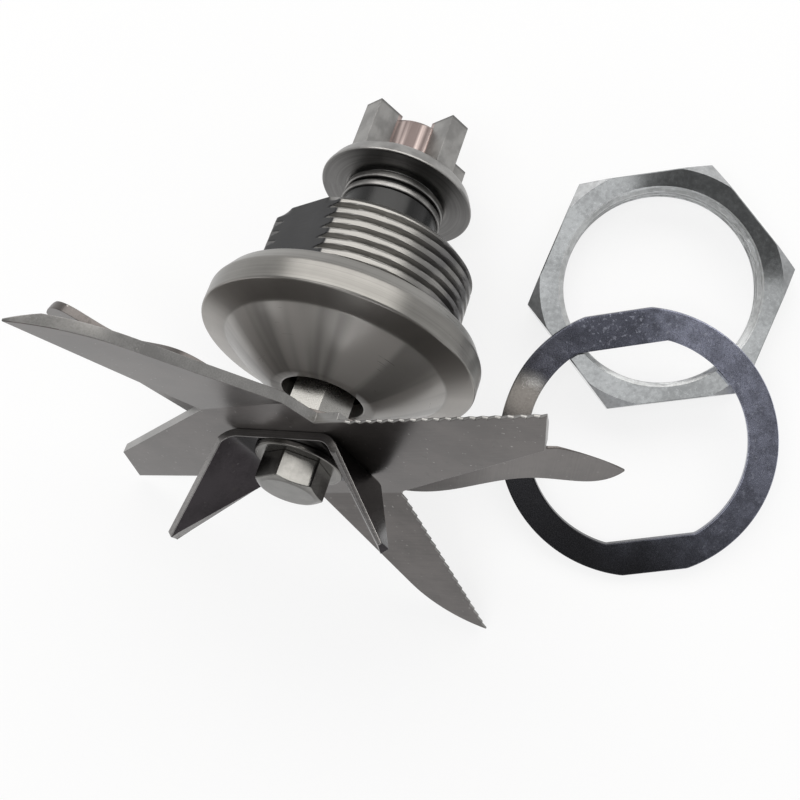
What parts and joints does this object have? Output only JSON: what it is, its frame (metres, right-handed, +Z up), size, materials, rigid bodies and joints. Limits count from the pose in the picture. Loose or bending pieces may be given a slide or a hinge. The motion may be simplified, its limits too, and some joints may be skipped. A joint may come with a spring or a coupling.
{
  "type": "blender blade assembly",
  "caption": "Blender blade unit: saw-toothed bent blades and a finned drive coupling on a spindle in a threaded bearing housing, with its thin hexagon nut and keyed washer lying beside it.",
  "frame": {"origin": "on the table under the centre of the whole group's bounding box, as it lies in the picture", "axes": "+Z up from the table; +X to the right in the picture, along the longest extent; the shaft lies tilted with its blades toward -Y"},
  "size_m": [0.1278, 0.095, 0.0754],
  "materials": {
    "turned_steel": "turned and polished",
    "bearing_steel": "ground",
    "spring_steel": "black oxide",
    "seal_rubber": "matt",
    "zinc_nut": "bright zinc plated",
    "zinc_washer": "mottled zinc plated",
    "blade_steel": "satin",
    "polished_blade_steel": "polished",
    "fastener_steel": "polished",
    "sleeve_plastic": "gloss black",
    "coupling_steel": "polished"
  },
  "bodies": {
    "housing": {"bearing_housing": "turned_steel", "blade_bearing_outer_ring": "bearing_steel", "drive_bearing_outer_ring": "bearing_steel", "outer_spacer": "bearing_steel", "circlip": "spring_steel", "drive_shield": "spring_steel", "nose_seal": "seal_rubber", "retaining_nut": "zinc_nut", "keyed_washer": "zinc_washer"},
    "rotor": {"spindle": "turned_steel", "blade_bearing_inner_ring": "bearing_steel", "drive_bearing_inner_ring": "bearing_steel", "blade_bearing_balls": "bearing_steel", "drive_bearing_balls": "bearing_steel", "inner_spacer": "bearing_steel", "lower_blade": "blade_steel", "cross_blade": "blade_steel", "upper_blade": "polished_blade_steel", "clamp_washer": "fastener_steel", "cap_nut": "fastener_steel", "neck_sleeve": "sleeve_plastic", "drive_coupling": "coupling_steel"}
  },
  "joints": [
    {"name": "rotor_spin", "type": "hinge", "parent": "housing", "child": "rotor", "pos_m": [-0.01257, 0.00629, 0.02508], "axis": [-0.2363, -0.882, 0.4078], "continuous": true}
  ]
}
